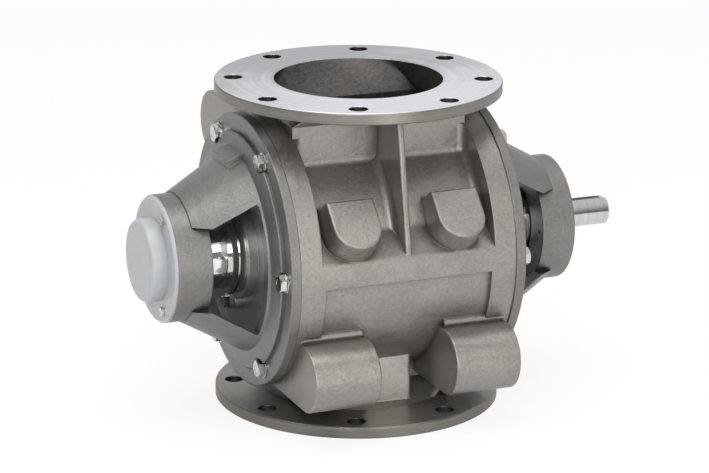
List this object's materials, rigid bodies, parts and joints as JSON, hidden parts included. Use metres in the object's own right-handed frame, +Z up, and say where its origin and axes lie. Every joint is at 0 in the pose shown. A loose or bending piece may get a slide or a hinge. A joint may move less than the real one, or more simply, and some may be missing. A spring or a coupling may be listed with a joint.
{
  "type": "rotary airlock valve",
  "caption": "Cast stainless rotary airlock valve with DN200 flanges, eight-vane rotor, outboard bearings and a bare keyed drive shaft.",
  "frame": {"origin": "centre of the outlet flange's lower face", "axes": "+Z up, from outlet to inlet; +X along the rotor axis towards the drive end"},
  "size_m": [0.604, 0.384, 0.39],
  "materials": {
    "cast_steel": "shot blasted stainless casting, machined joint faces",
    "machined_steel": "turned and ground",
    "polished_steel": "mirror ground sleeve",
    "bearing_steel": "ground bearing steel",
    "cage_steel": "pressed sheet",
    "fastener_steel": "bright stainless",
    "spring_steel": "black spring steel",
    "cap_plastic": "pale blue-grey moulding",
    "seal_rubber": "black nitrile",
    "packing_fibre": "square braided packing"
  },
  "bodies": {
    "root": {"housing": "cast_steel", "drive_end_cover": "cast_steel", "drive_cover_bolts": "fastener_steel", "drive_cover_seal": "seal_rubber", "drive_gland_packing": "packing_fibre", "drive_gland": "machined_steel", "drive_gland_screws": "fastener_steel", "drive_bearing_outer_ring": "bearing_steel", "free_end_cover": "cast_steel", "free_cover_bolts": "fastener_steel", "free_cover_seal": "seal_rubber", "free_gland_packing": "packing_fibre", "free_gland": "machined_steel", "free_gland_screws": "fastener_steel", "free_bearing_outer_ring": "bearing_steel", "drive_inner_circlip": "spring_steel", "drive_outer_circlip": "spring_steel", "drive_closer_circlip": "spring_steel", "drive_bearing_closer": "machined_steel", "drive_lip_seal": "seal_rubber", "free_bearing_cap": "cap_plastic", "free_cap_screws": "fastener_steel"},
    "rotor": {"rotor_shaft": "machined_steel", "rotor_hub": "machined_steel", "rotor_vane_1": "machined_steel", "rotor_vane_2": "machined_steel", "rotor_vane_3": "machined_steel", "rotor_vane_4": "machined_steel", "rotor_vane_5": "machined_steel", "rotor_vane_6": "machined_steel", "rotor_vane_7": "machined_steel", "rotor_vane_8": "machined_steel", "drive_shaft_sleeve": "polished_steel", "drive_sleeve_screw": "fastener_steel", "drive_bearing_inner_ring": "bearing_steel", "drive_slotted_collar": "machined_steel", "free_shaft_sleeve": "polished_steel", "free_sleeve_screw": "fastener_steel", "free_bearing_inner_ring": "bearing_steel", "free_slotted_collar": "machined_steel", "free_end_nut": "machined_steel"},
    "drive_cage": {"drive_bearing_cage": "cage_steel", "drive_bearing_balls": "bearing_steel"},
    "free_cage": {"free_bearing_cage": "cage_steel", "free_bearing_balls": "bearing_steel"}
  },
  "joints": [
    {"name": "rotor_spin", "type": "hinge", "parent": "root", "child": "rotor", "pos_m": [0, 0, 0.195], "axis": [1, 0, 0], "continuous": true},
    {"name": "drive_cage_roll", "type": "hinge", "parent": "root", "child": "drive_cage", "pos_m": [0, 0, 0.195], "axis": [1, 0, 0], "continuous": true},
    {"name": "free_cage_roll", "type": "hinge", "parent": "root", "child": "free_cage", "pos_m": [0, 0, 0.195], "axis": [1, 0, 0], "continuous": true}
  ],
  "couplings": [
    {"joint": "drive_cage_roll", "follows": "rotor_spin", "ratio": 0.4023},
    {"joint": "free_cage_roll", "follows": "rotor_spin", "ratio": 0.4023}
  ]
}
